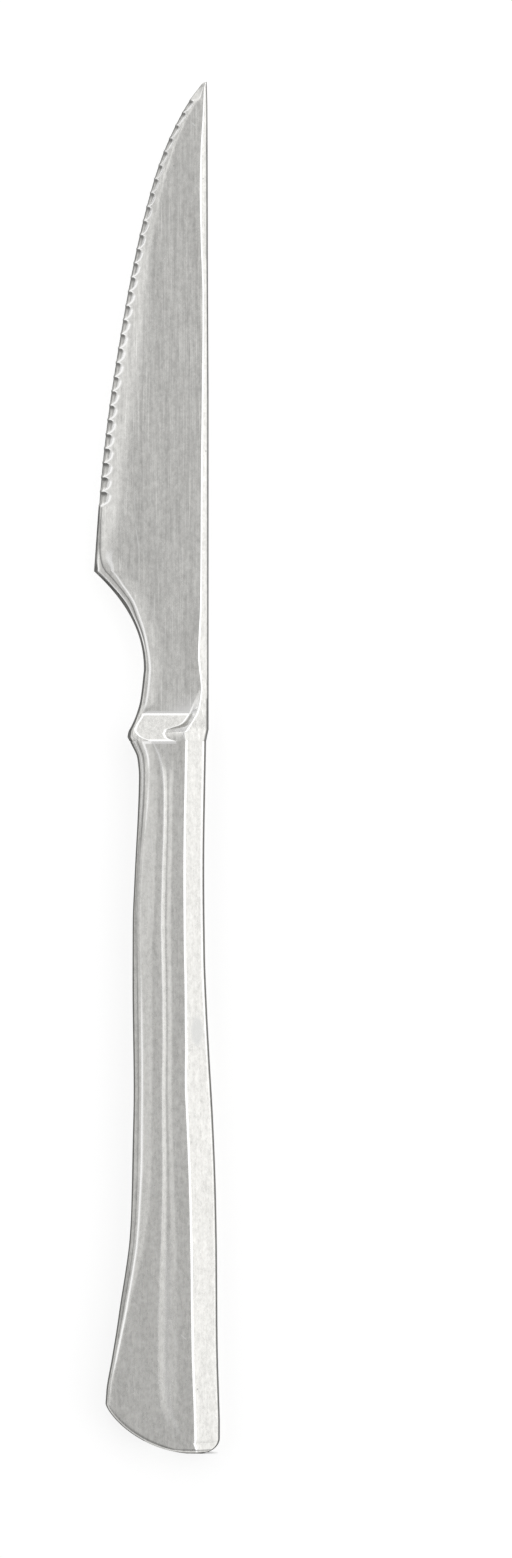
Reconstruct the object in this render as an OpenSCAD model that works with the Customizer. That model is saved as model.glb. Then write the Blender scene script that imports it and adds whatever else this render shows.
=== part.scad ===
// Steak knife with a hollow steel handle, lying flat on the back face of its handle.
// Length runs along Y with the tip at +Y, the spine looks to +X and the edge to -X.

/* [Blade] */
// Length of the cutting edge along the knife, from the heel to the tip
edge_l = 80.3; // [60:0.5:110]
// Length from the heel back to the handle's mouth, along the knife
choil_l = 27.9; // [20:0.5:40]
// Width of the blade at the heel
blade_w = 18.8; // [15:0.1:26]
// Width of the blade at the neck, ahead of the bolster
neck_w = 10.6; // [8:0.1:14]
// Depth of the guard's point below the spine line
guard_w = 13.3; // [11.5:0.1:16]
// Thickness of the blade at the bolster
blade_t = 2.4; // [1.5:0.1:3.5]
// Thickness of the blade at the tip
tip_t = 0.9; // [0.6:0.1:1.4]
// Drop of the tip below the spine line
tip_drop = 0.4; // [0.2:0.1:2]
// Thickness of the cutting edge before the scallops are ground
edge_t = 0.2; // [0.1:0.05:0.4]
// Width of the ground bevel behind the cutting edge
grind_w = 3.3; // [2:0.1:5]
// Width of the rounded strip along the choil
choil_strip_w = 1.1; // [0.6:0.1:2]
// Width of the bevel along the blade's spine
spine_bevel_w = 1.2; // [0.6:0.1:2]
// Slope of the spine bevel, on the blade and the handle
bevel_angle = 25; // [15:1:35]
// Least thickness left at the spine
spine_min_t = 0.3; // [0.2:0.05:0.8]

/* [Scallops] */
// Pitch of the scallops along the edge
tooth_pitch = 2.37; // [1.5:0.01:4]
// Reach of each scallop into the face of the blade
tooth_reach = 1.4; // [0.8:0.1:2]
// Dip of each scallop into the cutting edge
tooth_dip = 0.16; // [0.1:0.02:0.5]
// Length of plain edge left in front of the heel
plain_edge_l = 10; // [5:0.5:25]
// Length of plain edge left behind the tip
plain_tip_l = 4; // [2:0.5:8]

/* [Bolster] */
// Length of the ramp from the blade's face up to the handle's face
ramp_l = 4.6; // [3:0.1:8]
// Width across the handle's mouth
mouth_w = 12.5; // [11:0.1:14]
// Step of the handle's back edge below the blade's spine line
mouth_step = 0.42; // [0.1:0.02:1]
// Thickness of the filler ring between the bolster and the handle's mouth
braze_t = 0.2; // [0.1:0.05:0.4]

/* [Handle] */
// Length of the handle, from its mouth to the end of the butt
handle_l = 116.8; // [90:1:140]
// Thickness of the handle
handle_t = 7; // [5.5:0.1:9]
// Width of the handle at its waist, just behind the guard
waist_w = 10.9; // [9:0.1:13]
// Width of the handle at the middle of the grip
grip_w = 12.75; // [10:0.05:14]
// Width of the flared butt
butt_w = 18.75; // [15:0.05:24]
// Height of the butt's back corner above the spine line
butt_flare = 1.85; // [0.5:0.05:4]
// Hollow of the handle's back edge below the spine line, at the waist
back_hollow = 0.72; // [0.3:0.02:2]
// Length of the slanted end of the butt
butt_slant_l = 8.2; // [5:0.1:12]
// Radius along the knife of the butt's back corner
butt_corner_r = 2.5; // [1:0.1:4]
// Width of the rounded shoulder along the handle's lower edge
shoulder_w = 1.2; // [0.8:0.1:1.8]
// Height of the upright side of the handle, at the edges that carry the seam
side_h = 2.6; // [1.6:0.1:3.4]
// Width of the spine bevel at the front of the handle
front_bevel_w = 3.3; // [2.4:0.1:4]
// Width of the spine bevel at the back of the handle
rear_bevel_w = 4.3; // [3:0.1:5]
// Slope of the shallow facet along the handle's lower edge
facet_angle = 8; // [3:1:12]
// Depth of the soft flute along the handle
flute_d = 0.12; // [0.05:0.01:0.25]
// Wall of the pressed half shells
wall = 0.9; // [0.6:0.05:1.2]
// Thickness of the filler in the seam between the half shells
seam_t = 0.3; // [0.15:0.05:0.5]
// Solid depth of the butt behind the hollow
butt_wall = 4; // [3:0.5:8]

/* [Tang] */
// Length of the tang inside the handle
tang_l = 46; // [30:1:60]
// Width of the tang at its root
tang_root_w = 7.5; // [6:0.1:9]
// Width of the tang at its end
tang_end_w = 4.5; // [3:0.1:6]
// Thickness of the tang
tang_t = 2; // [1.4:0.1:3]
// Radius of the notches that key the tang into the cement
notch_r = 0.8; // [0.5:0.1:1.2]
// Length of the spigot that plugs the handle's mouth
spigot_l = 3; // [2:0.5:6]
// Cement beyond the end of the tang
cement_over = 5; // [2:0.5:12]
// Gap left round bonded pieces
bond_gap = 0.02; // [0.01:0.01:0.05]

/* [Hidden] */
$fn = 48;

// Lengths and places that follow from the sizes above
blade_l = choil_l + edge_l;
mouth_y = (handle_l - blade_l) / 2;
spine_x = (blade_w - butt_flare) / 2;
half_t = handle_t / 2;
side_half = side_h / 2;
// Length by which a hollow runs past the mouth that it opens
overrun = 1;
// Stations closer together than this are one station
least_step = 0.02;
// Step over which a slope is measured
slope_step = 0.01;

// Outline of the blade, as shares of its sizes
// Belly from tip to heel: root of the share of edge_l, share of the drop from tip to heel
belly_shares = [[0, 0], [0.11, 0.066], [0.23, 0.195], [0.44, 0.4565], [0.705, 0.751],
                [0.88, 0.924], [1, 1]];
// Place of the neck and of the guard's point along the choil, from the mouth
neck_share = 0.418;
guard_share = 0.024;
// Power of the curve that the choil sweeps from the neck to the heel
choil_power = 2.15;
// Guard from the neck to its point
guard_shares = [[0, 0], [0.45, 0.26], [0.67, 0.55], [0.9, 0.95], [1, 1]];
// Fall of the spine line towards the tip, along the blade
spine_shares = [[0, 0], [0.5, 0], [0.72, 0.26], [0.85, 0.35], [0.96, 0.48], [1, 0.75]];
// Drop of the lower side of the tip, as a share of the tip's drop
tip_low_share = 1.25;
// Length of the step in the back edge at the mouth, as a share of the ramp
jog_share = 0.43;
// Width of the blade's spine bevel along the blade
spine_bevel_shares = [[0, 1], [0.08, 1.02], [0.13, 1.4], [0.21, 1.12], [0.44, 0.97],
                      [0.68, 0.73], [0.76, 0.94], [0.83, 1.05], [0.893, 0.93], [0.945, 0.63],
                      [1, 0.35]];
// Sweep of the spine bevel out to the handle's bevel, along the ramp
sweep_shares = [[0, 1], [0.43, 0.93], [0.68, 0.67], [1, 0.35], [1.36, 0.14], [1.82, 0]];
// Rise of the ridge beside the ramp, along the ramp
rise_shares = [[0, 1], [0.15, 0.98], [0.43, 0.8], [0.68, 0.42], [1, 0.12], [1.82, 0]];
// Spread of the ramp's lower corner from the shoulder, in shoulder widths
ramp_lead_shares = [[0, 1.85], [0.08, 1.45], [0.22, 1], [0.43, 0.45], [0.7, 0.2], [1, 0.15]];
// Sweep of the hollow between the ramp and the ridge, in widths of the front bevel
hollow_shares = [[0, 0.5], [0.24, 1.18], [0.42, 1.03], [0.55, 0.64], [0.78, 0.4], [1, 0.3],
                 [1.8, 0.1]];
// Width of the strip along the choil between the neck and the heel
strip_shares = [[0.6, 0], [0.75, 0.28], [0.887, 0.72], [1, 1]];
// Width of the rounded strip beside the ramp, along the ramp, in widths of the shoulder
ramp_strip_shares = [[0, 1.25], [0.15, 0.85], [0.5, 0.55]];
// Width of the ground bevel at the heel, as a share of its full width
heel_grind_share = 0.88;
// Upright part of the choil's side, as a share of the blade's thickness
choil_side_share = 0.55;
// Thinning of the choil's side from the ramp to the heel, and the rounding of its strip
choil_thin_shares = [[0, 0], [0.75, 0], [1, 1]];
choil_round_shares = [[0, 1], [0.8, 1], [1, 0]];

// Outline of the handle, as shares of its length and of the steps between its widths
mouth_fall_shares = [[0, 1], [0.0056, 0.78], [0.0126, 0.5], [0.02, 0.25], [0.0267, 0.14],
                     [0.048, 0]];
grip_shares = [[0.069, 0.05], [0.111, 0.27], [0.153, 0.58], [0.195, 0.86], [0.258, 1.19],
               [0.343, 1.22], [0.49, 1]];
flare_shares = [[0.574, 0.04], [0.659, 0.088], [0.7, 0.148], [0.743, 0.287], [0.785, 0.456],
                [0.827, 0.61], [0.869, 0.786], [0.911, 0.968], [0.93, 1]];
waist_share = 0.048;
grip_share = 0.49;
back_shares = [[0.18, 0], [0.3, 0.05], [0.364, 0.152], [0.448, 0.35], [0.532, 0.568],
               [0.638, 0.751], [0.722, 0.817], [0.84, 0.856], [0.954, 1]];
// Place of the butt's hindmost point, as a share of the butt's width from the spine line
butt_end_share = 0.107;
// Powers of the ovals that close the butt at its slanted end and at its back corner
slant_power = 1.35;
corner_power = 2;
// Place along an oval where it stops, just short of closing
oval_stop_share = 0.992;
// Width of the shoulder and of the spine bevel along the handle
shoulder_shares = [[0, 1.25], [0.022, 1.17], [0.069, 0.96], [0.153, 0.78], [0.31, 0.83],
                   [0.504, 1.17], [0.588, 1.29], [0.673, 1.08], [0.757, 0.83], [0.84, 0.54],
                   [0.925, 0.45], [1, 0.6]];
rear_bevel_shares = [[0, 0], [0.31, 0.05], [0.42, 0.45], [0.504, 0.98], [0.6, 1], [0.84, 0.9],
                     [1, 0.8]];
// Borders of the facet, of the flute's two sides, between the shoulder and the ridge
facet_shares = [[0, 0.266], [0.027, 0.25], [0.069, 0.33], [0.153, 0.35], [0.22, 0.285],
                [0.31, 0.295], [0.5, 0.195], [0.645, 0.167], [0.715, 0.124], [0.75, 0.081],
                [0.78, 0.03], [0.8, 0.02], [0.93, 0.02], [0.98, 0.16], [1, 0.2]];
flute_low_shares = [[0, 0.287], [0.024, 0.36], [0.069, 0.47], [0.153, 0.51], [0.36, 0.51],
                    [0.574, 0.456], [0.673, 0.44], [0.84, 0.46], [0.925, 0.51], [1, 0.6]];
flute_high_shares = [[0, 0.79], [0.069, 0.69], [0.153, 0.72], [0.36, 0.71], [0.574, 0.64],
                     [0.673, 0.63], [0.84, 0.71], [0.925, 0.73], [1, 0.8]];
flute_fade_shares = [[0, 0], [0.07, 1], [0.9, 1], [0.97, 0]];
// Most of the local width that the parts of a section may take near a pointed end
shoulder_limit_share = 0.4;
facet_limit_share = 0.45;
bevel_limit_share = 0.35;
hollow_limit_share = 0.1;
reach_limit_share = 0.81;
// The rounded side: place and height of its middle point
round_place_share = 0.3;
round_height_share = 0.72;
grind_place_share = 0.4;
// Height that a scallop leaves at the cutting edge, as a share of edge_t
scallop_edge_share = 0.2;
// Reach of a scallop's cusp, as a share of the scallop's reach
cusp_share = 0.25;
// Length over which the butt's end rounds over, as a share of the shoulder
butt_round_share = 0.7;
// Place of the hollow's bend under the facet, across its level part
hollow_bend_share = 0.33;
// Margin at both sides of the butt's section that its solid part keeps inside
butt_margin_share = 0.125;
// Bulge that keeps the sides of the hollow and of the tang from being quite flat
bulge_share = 0.1;
// Chamfer along the tang, as a share of its thickness
tang_chamfer_share = 0.125;

// Stations along the knife
scallop_shares = [0, 0.2, 0.5, 0.8];
tip_station_shares = [0, 0.12, 0.3, 0.6];
heel_station_shares = [0, 0.25, 0.5, 0.75, 1];
choil_station_shares = [0.975, 0.94, 0.9, 0.86, 0.81, 0.75, 0.68, 0.6, 0.5, 0.418, 0.33, 0.25,
                        0.024];
ramp_station_shares = [1.82, 1.4, 1.15, 1, 0.8, 0.68, 0.57, 0.43, 0.3, 0.22, 0.08, 0];
handle_station_shares = [0.006, 0.0126, 0.02, 0.03, 0.048, 0.069, 0.1, 0.153, 0.2, 0.26, 0.31,
                         0.364, 0.42, 0.47, 0.504, 0.55, 0.6, 0.645, 0.68, 0.7, 0.722, 0.743,
                         0.765, 0.785, 0.806, 0.827, 0.85, 0.869, 0.89, 0.911, 0.925];
slant_station_shares = [0, 0.1, 0.2, 0.34, 0.48, 0.6, 0.7, 0.78, 0.84, 0.89, 0.93, 0.965, 0.985, 1];

// A smooth curve through points [place, value] that never swings past them
function rise_of(p, i) = (p[i + 1][1] - p[i][1]) / (p[i + 1][0] - p[i][0]);
function lean_of(p, i) =
    i == 0 ? rise_of(p, 0) :
    i == len(p) - 1 ? rise_of(p, i - 1) :
    let (a = rise_of(p, i - 1), b = rise_of(p, i))
    a * b <= 0 ? 0 : 2 * a * b / (a + b);
function part_of(p, x) = min(len(p) - 2, max(0, len([for (q = p) if (q[0] <= x) 1]) - 1));
function curve(p, x) =
    let (i = part_of(p, x),
         h = p[i + 1][0] - p[i][0],
         t = min(1, max(0, (x - p[i][0]) / h)),
         s = 1 - t)
    s * s * (1 + 2 * t) * p[i][1] + t * t * (1 + 2 * s) * p[i + 1][1]
    + h * s * t * (s * lean_of(p, i) - t * lean_of(p, i + 1));
function mix(a, b, t) = a + (b - a) * t;

// Depths below the spine line, at a distance u from the mouth towards the tip
neck_u = neck_share * choil_l;
guard_u = guard_share * choil_l;
tip_low = tip_low_share * tip_drop;
function belly_d(u) =
    tip_low + (blade_w - tip_low) * curve(belly_shares, sqrt(max(0, (blade_l - u) / edge_l)));
function choil_d(u) =
    u > neck_u ?
        neck_w + (blade_w - neck_w) * pow((u - neck_u) / (choil_l - neck_u), choil_power) :
    u > guard_u ?
        mix(neck_w, guard_w, curve(guard_shares, (neck_u - u) / (neck_u - guard_u))) :
        mix(mouth_step + mouth_w, guard_w, max(0, u) / guard_u);
function blade_low_d(u) = u >= choil_l ? belly_d(u) : choil_d(u);
function blade_back_d(u) =
    mouth_step * max(0, 1 - u / (jog_share * ramp_l)) + tip_drop * curve(spine_shares, u / blade_l);
function blade_span(u) = blade_low_d(u) - blade_back_d(u);

// Half thicknesses of the blade, of the ramp and of the ridge beside it
function face_z(u) = mix(blade_t, tip_t, u / blade_l) / 2;
function ramp_z(u) = mix(half_t, face_z(u), min(1, u / ramp_l));
function ridge_z(u) = mix(face_z(u), half_t, curve(rise_shares, u / ramp_l));
function spine_z(ridge, bevel) = max(spine_min_t / 2, ridge - bevel * tan(bevel_angle));

// Widths of the parts of the blade's section
function blade_bevel(u) =
    min(bevel_limit_share * blade_span(u),
        mix(spine_bevel_w * curve(spine_bevel_shares, u / blade_l), front_bevel_w,
            curve(sweep_shares, u / ramp_l)));
strip_line = concat(
    [for (p = ramp_strip_shares) [p[0] * ramp_l, p[1] * shoulder_w]],
    [[ramp_l, choil_strip_w]],
    [for (p = strip_shares) [p[0] * choil_l, mix(choil_strip_w, heel_grind_share * grind_w, p[1])]]);
function blade_strip(u) =
    min(shoulder_limit_share * blade_span(u),
        u <= choil_l ? curve(strip_line, u) :
        mix(heel_grind_share, 1, min(1, (u - choil_l) / plain_edge_l)) * grind_w);
function low_side_z(u) =
    u >= choil_l ? edge_t / 2 :
    u >= ramp_l ?
        mix(choil_side_share * face_z(u), edge_t / 2,
            curve(choil_thin_shares, (u - ramp_l) / (choil_l - ramp_l))) :
        mix(side_half, choil_side_share * face_z(u), u / ramp_l);

// Half of the blade's section, from the edge to the spine, as [depth, half thickness]
function blade_half(u, scallop) =
    let (low = blade_low_d(u),
         back = blade_back_d(u),
         span = low - back,
         strip = blade_strip(u),
         lead = shoulder_w * curve(ramp_lead_shares, u / ramp_l),
         flat_low = min(facet_limit_share * span, strip + lead),
         bevel = blade_bevel(u),
         hollow = min(hollow_limit_share * span + max(0, ramp_l - u),
                      front_bevel_w * curve(hollow_shares, u / ramp_l)),
         rounding = u >= choil_l ? 0 : curve(choil_round_shares, u / choil_l),
         reach = scallop < 0 ? mix(grind_place_share, round_place_share, rounding) * strip :
                 min(mix(cusp_share, 1, scallop) * tooth_reach, reach_limit_share * strip),
         height = mix(reach / strip, round_height_share, rounding),
         edge_z = low_side_z(u),
         top = ramp_z(u),
         shoulder = top - (flat_low - strip) * tan(facet_angle) * max(0, 1 - u / ramp_l),
         cut = max(0, scallop))
    [[low - tooth_dip * cut, edge_z - (1 - scallop_edge_share) * edge_t * cut],
     [low - reach, mix(edge_z, shoulder, height)],
     [low - strip, shoulder],
     [low - flat_low, top],
     [back + bevel + hollow, top],
     [back + bevel, ridge_z(u)],
     [back, spine_z(ridge_z(u), bevel)]];

function placed(d, u, z) = [spine_x - d, mouth_y + u, half_t + z];
function both_sides(half, u) = concat(upside(half, u), underside(half, u));
function upside(half, u) = [for (p = half) placed(p[0], u, p[1])];
function underside(half, u) = [for (i = [len(half) - 1 : -1 : 0]) placed(half[i][0], u, -half[i][1])];

// The back of a scalloped section is plain, but keeps the dip in the edge
function blade_section(u, scallop) =
    let (front = blade_half(u, scallop),
         plain = blade_half(u, -1),
         back = concat([[front[0][0], plain[0][1]]], [for (i = [1 : len(plain) - 1]) plain[i]]))
    concat(upside(front, u), underside(back, u));

// Stations of the blade as [u, depth of the scallop there], from the tip to the mouth
arc_steps = 160;
function belly_at(i) =
    let (u = blade_l - edge_l * pow(i / arc_steps, 2)) [belly_d(u), u];
belly_arc = [for (i = 0, arc = 0; i <= arc_steps;
                  arc = arc + norm(belly_at(i + 1) - belly_at(i)), i = i + 1)
             [arc, belly_at(i)[1]]];
belly_l = belly_arc[arc_steps][0];
scallops = floor((belly_l - plain_tip_l - plain_edge_l) / tooth_pitch);
scallops_end = plain_tip_l + scallops * tooth_pitch;
function arch(share) = 1 - pow(2 * share - 1, 2);
blade_stations = concat(
    [for (s = tip_station_shares) [lookup(s * plain_tip_l, belly_arc), -1]],
    [for (k = [0 : scallops - 1], s = scallop_shares)
        [lookup(plain_tip_l + (k + s) * tooth_pitch, belly_arc), arch(s)]],
    [for (s = heel_station_shares)
        [lookup(mix(scallops_end, belly_l, s), belly_arc), s == 0 ? 0 : -1]],
    spaced([for (u = falling(concat([for (s = choil_station_shares) s * choil_l],
                                    [for (s = ramp_station_shares) s * ramp_l]))) [u, -1]]));
function falling(list) =
    len(list) < 2 ? list :
    let (pivot = list[floor(len(list) / 2)])
    concat(falling([for (x = list) if (x > pivot) x]), [pivot],
           falling([for (x = list) if (x < pivot) x]));
function spaced(list) =
    [for (i = [0 : len(list) - 1])
        if (i == len(list) - 1 || list[i][0] - list[i + 1][0] > least_step) list[i]];

// Depths below the spine line, at a distance v from the mouth towards the butt
butt_low = butt_w - butt_flare;
butt_end_d = butt_end_share * butt_w;
slant_v = handle_l - butt_slant_l;
back_line = concat([[0, mouth_step]],
    [for (p = back_shares) [p[0] * handle_l, mix(back_hollow, -butt_flare, p[1])]]);
function back_curve(v) = curve(back_line, v);
waist_low = back_curve(waist_share * handle_l) + waist_w;
grip_low = back_curve(grip_share * handle_l) + grip_w;
low_line = concat(
    [for (p = mouth_fall_shares) [p[0] * handle_l, mix(waist_low, mouth_step + mouth_w, p[1])]],
    [for (p = grip_shares) [p[0] * handle_l, mix(waist_low, grip_low, p[1])]],
    [for (p = flare_shares) [p[0] * handle_l, mix(grip_low, butt_low, p[1])]]);
function oval(q, power) = 1 - sqrt(1 - pow(oval_stop_share * q, power));
function low_d(v) =
    let (q = max(0, v - slant_v) / butt_slant_l)
    min(curve(low_line, v), mix(butt_low, butt_end_d, oval(q, slant_power)));
function back_d(v) =
    let (q = max(0, v - handle_l + butt_corner_r) / butt_corner_r)
    max(back_curve(v), mix(-butt_flare, butt_end_d, oval(q, corner_power)));
function slope_at(v) = (low_d(v) - low_d(v - slope_step)) / slope_step;
function slant_of(v) = v > slope_step ? sqrt(1 + pow(slope_at(v), 2)) : 1;
function handle_span(v) = low_d(v) - back_d(v);
function share_at(shares, v) = curve(shares, v / handle_l);

// Half thickness of the handle's face: level, and rounded over at the very end of the butt
butt_round = butt_round_share * shoulder_w;
function level_z(v) =
    let (e = min(1, (handle_l - v) / butt_round))
    mix(side_half, half_t, sqrt(1 - pow(1 - e, 2)));
function shoulder_at(v) =
    min(shoulder_limit_share * handle_span(v),
        shoulder_w * share_at(shoulder_shares, v) * (v > slant_v ? slant_of(v) : 1));
function bevel_at(v) =
    min(bevel_limit_share * handle_span(v),
        mix(front_bevel_w, rear_bevel_w, share_at(rear_bevel_shares, v)));

// Half of the handle's section, from the lower edge to the back edge
function handle_half(v) =
    let (low = low_d(v),
         back = back_d(v),
         level = level_z(v),
         shoulder = low - shoulder_at(v),
         ridge = back + bevel_at(v),
         land = shoulder - ridge,
         facet = land * share_at(facet_shares, v),
         flute_low = land * share_at(flute_low_shares, v),
         flute_high = land * share_at(flute_high_shares, v),
         shoulder_z = max(side_half, level - facet * tan(facet_angle)))
    [[low, side_half],
     [low - round_place_share * shoulder_at(v), mix(side_half, shoulder_z, round_height_share)],
     [shoulder, shoulder_z],
     [shoulder - facet, level],
     [shoulder - flute_low, level],
     [shoulder - (flute_low + flute_high) / 2, level - flute_d * share_at(flute_fade_shares, v)],
     [shoulder - flute_high, level],
     [ridge, level],
     [back, max(side_half, spine_z(level, bevel_at(v)))]];

// Half of the hollow's section, a wall inside the handle's, less a gap
function hollow_half(v, gap) =
    let (inset = wall + gap,
         low = low_d(v) - wall * slant_of(v) - gap,
         back = back_d(v) + inset,
         shoulder = low_d(v) - shoulder_at(v) - hollow_bend_share * inset,
         facet_z = half_t - inset - facet_drop(v),
         ridge = back_d(v) + bevel_at(v),
         land = shoulder - ridge)
    [[low, side_half / 2],
     [min(shoulder, low - gap), facet_z],
     [shoulder - hollow_bend_share * land, half_t - inset],
     [ridge, half_t - inset],
     [back, spine_z(half_t, bevel_at(v)) - inset / 2]];
function facet_drop(v) =
    (low_d(v) - shoulder_at(v) - back_d(v) - bevel_at(v)) * share_at(facet_shares, v)
    * tan(facet_angle);
function hollow_section(v, gap) =
    let (half = hollow_half(max(0, v), gap))
    both_sides([[half[0][0], half[0][1] / 2],
                [half[0][0] - bulge_share * wall, half[0][1]],
                half[1], half[2], half[3],
                [half[4][0] + bulge_share * wall, half[4][1]],
                [half[4][0], half[4][1] / 2]], -v);

// Sections of the tang, with as many points as those of the blade and of the hollow
tang_d = mouth_step + mouth_w / 2;
notch_shares = [0.4, 0.75];
notch_station_shares = [-1, -0.92, -0.7, -0.35, 0, 0.35, 0.7, 0.92, 1];
function notch_depth(v, gap) =
    let (r = notch_r - gap,
         near = min([for (s = notch_shares) abs(v - s * tang_l)]))
    near < r ? sqrt(r * r - near * near) : 0;
function tang_half(v, gap) =
    let (half_w = mix(tang_root_w, tang_end_w, v / tang_l) / 2 + gap - notch_depth(v, gap),
         z = tang_t / 2 + gap,
         chamfer = tang_chamfer_share * tang_t)
    [[tang_d + half_w, chamfer],
     [tang_d + half_w - bulge_share * z, z / 2],
     [tang_d + half_w - chamfer, z],
     [tang_d + half_w / 2, z],
     [tang_d - half_w / 2, z],
     [tang_d - half_w + chamfer, z],
     [tang_d - half_w, z / 2]];
function spigot_end(gap) =
    [for (p = hollow_section(0, gap)) [p[0], p[1] - spigot_l, p[2]]];
function tang_section(v, gap) = both_sides(tang_half(v, gap), -v);
function tang_stations(gap) = concat([spigot_l + gap],
    [for (s = notch_shares, t = notch_station_shares) s * tang_l + t * (notch_r - gap)],
    [tang_l + gap]);

handle_stations = concat(
    [for (s = handle_station_shares) if (s * handle_l < slant_v - least_step) s * handle_l],
    [for (s = slant_station_shares) slant_v + s * butt_slant_l]);
hollow_end = handle_l - butt_wall;
// The hollow closes in a slope as long as this before its end
hollow_slope_l = 2 * wall;
hollow_stations = concat(
    [for (v = handle_stations) if (v < hollow_end - hollow_slope_l - least_step) v],
    [hollow_end - hollow_slope_l, hollow_end]);
shell_stations = concat(
    between(hollow_stations, braze_t, hollow_end),
    [for (v = handle_stations) if (v > hollow_end + least_step) v]);

// The end of a folded section, one whose lower half mirrors its upper half, closed in strips
function folded_end(n) =
    [for (i = [0 : n / 2 - 2], side = [0, 1])
        side == 0 ? [i, i + 1, n - 2 - i] : [i, n - 2 - i, n - 1 - i]];

// A closed skin through a row of sections that have the same number of points.
// The faces that close an end are given by the section's points; without them it is folded.
module loft(sections, faces_given) {
    n = len(sections[0]);
    last = (len(sections) - 1) * n;
    end = is_undef(faces_given) ? folded_end(n) : faces_given;
    polyhedron(
        points = [for (section = sections) each section],
        faces = concat(
            [for (face = end) [face[2], face[1], face[0]]],
            [for (i = [0 : len(sections) - 2], j = [0 : n - 1], side = [0, 1])
                let (a = i * n + j, b = i * n + (j + 1) % n)
                side == 0 ? [a, b, a + n] : [b, b + n, a + n]],
            [for (face = end) [for (j = face) last + j]]));
}

// The stations between two places, both of them included
function between(stations, from, to) =
    concat([from], [for (v = stations) if (v > from + least_step && v < to - least_step) v], [to]);

module blade() {
    color("gainsboro")
        loft(concat(
            [for (s = blade_stations) blade_section(s[0], s[1])],
            [hollow_section(0, bond_gap), spigot_end(bond_gap)],
            [for (v = tang_stations(0)) tang_section(v, 0)]));
}

// The front half of the handle, pressed from sheet and open at its mouth
module half_shell() {
    seam_z = seam_t / 2;
    // The hollow's side of the section, which closes to a row of points across the solid butt
    function inner(v) =
        let (half = hollow_half(min(v, hollow_end), 0),
             solid = v > hollow_end + least_step,
             from = solid ? mix(low_d(v), back_d(v), butt_margin_share) : half[0][0],
             to = solid ? mix(back_d(v), low_d(v), butt_margin_share) : half[4][0],
             ring = concat([[from, seam_z]], half, [[to, seam_z]]))
        [for (i = [6 : -1 : 0])
            v < hollow_end - least_step ? ring[i] : [mix(from, to, i / 6), seam_z]];
    function section(v) =
        let (half = handle_half(v))
        upside(concat([[half[0][0], seam_z]], half, [[half[8][0], seam_z]], inner(v)), -v);
    // Each point of the outside has its partner on the hollow's side, counted back from the last
    partners = [17, 16, 16, 15, 15, 14, 14, 13, 13, 12, 11];
    end = [for (i = [0 : len(partners) - 2])
        let (a = partners[i], b = partners[i + 1])
        each a == b ? [[i, i + 1, a]] :
             i < len(partners) / 2 ? [[i, i + 1, a], [i + 1, b, a]] : [[i, i + 1, b], [i, b, a]]];
    loft([for (v = shell_stations) section(v)], end);
}

module handle_front_shell() {
    color("silver") half_shell();
}

module handle_back_shell() {
    color("silver")
        translate([0, 0, handle_t])
            mirror([0, 0, 1])
                half_shell();
}

module handle_seam_weld() {
    function rim(list, low, back) =
        concat([for (v = list) placed(low(v), -v, 0)],
               [for (i = [len(list) - 1 : -1 : 0]) placed(back(list[i]), -list[i], 0)]);
    outer = between(handle_stations, braze_t, handle_l);
    inner = between(hollow_stations, -overrun, hollow_end);
    color("darkgray")
        translate([0, 0, half_t - seam_t / 2])
            linear_extrude(seam_t)
                difference() {
                    polygon([for (p = rim(outer, function(v) low_d(v), function(v) back_d(v)))
                        [p[0], p[1]]]);
                    polygon([for (p = rim(inner, function(v) hollow_half(max(0, v), 0)[0][0],
                                          function(v) hollow_half(max(0, v), 0)[4][0]))
                        [p[0], p[1]]]);
                }
}

module mouth_braze() {
    function across(points) = [for (p = points) [p[0], p[2]]];
    color("darkkhaki")
        translate([0, mouth_y, 0])
            rotate([90, 0, 0])
                linear_extrude(braze_t)
                    difference() {
                        polygon(across(both_sides(handle_half(braze_t), 0)));
                        polygon(across(hollow_section(0, 0)));
                    }
}

// A plug with a socket for the tang: its skin runs up the socket and back along the hollow
module tang_cement() {
    socket = tang_stations(bond_gap);
    color("tan")
        loft(concat(
            [for (i = [len(socket) - 1 : -1 : 0]) tang_section(socket[i], bond_gap)],
            [for (v = between(handle_stations, socket[0], tang_l + cement_over))
                hollow_section(v, bond_gap)]));
}

blade();
handle_front_shell();
handle_back_shell();
handle_seam_weld();
mouth_braze();
tang_cement();
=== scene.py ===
import math

import bmesh
import bpy
from mathutils import Matrix, Vector


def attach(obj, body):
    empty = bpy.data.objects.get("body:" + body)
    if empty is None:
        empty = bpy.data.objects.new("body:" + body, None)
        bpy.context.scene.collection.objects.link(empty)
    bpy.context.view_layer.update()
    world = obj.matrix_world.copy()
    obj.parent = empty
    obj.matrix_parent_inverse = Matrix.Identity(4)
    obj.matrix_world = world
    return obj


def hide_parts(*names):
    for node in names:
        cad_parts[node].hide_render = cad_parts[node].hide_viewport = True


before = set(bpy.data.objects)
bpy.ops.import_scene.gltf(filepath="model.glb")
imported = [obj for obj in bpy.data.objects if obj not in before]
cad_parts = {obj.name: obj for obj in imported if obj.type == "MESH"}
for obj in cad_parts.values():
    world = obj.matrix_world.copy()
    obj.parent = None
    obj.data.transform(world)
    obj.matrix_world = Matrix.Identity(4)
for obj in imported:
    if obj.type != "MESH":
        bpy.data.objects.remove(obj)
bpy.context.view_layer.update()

# ------------------------------------------------------------------ blade
# One forging of hardened stainless steel: blade, choil, guard and bolster ramp.
# Its faces are ground lengthwise, the scallops are cut from the front face only,
# and it carries on unseen as a plug and a notched tang inside the handle.

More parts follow.
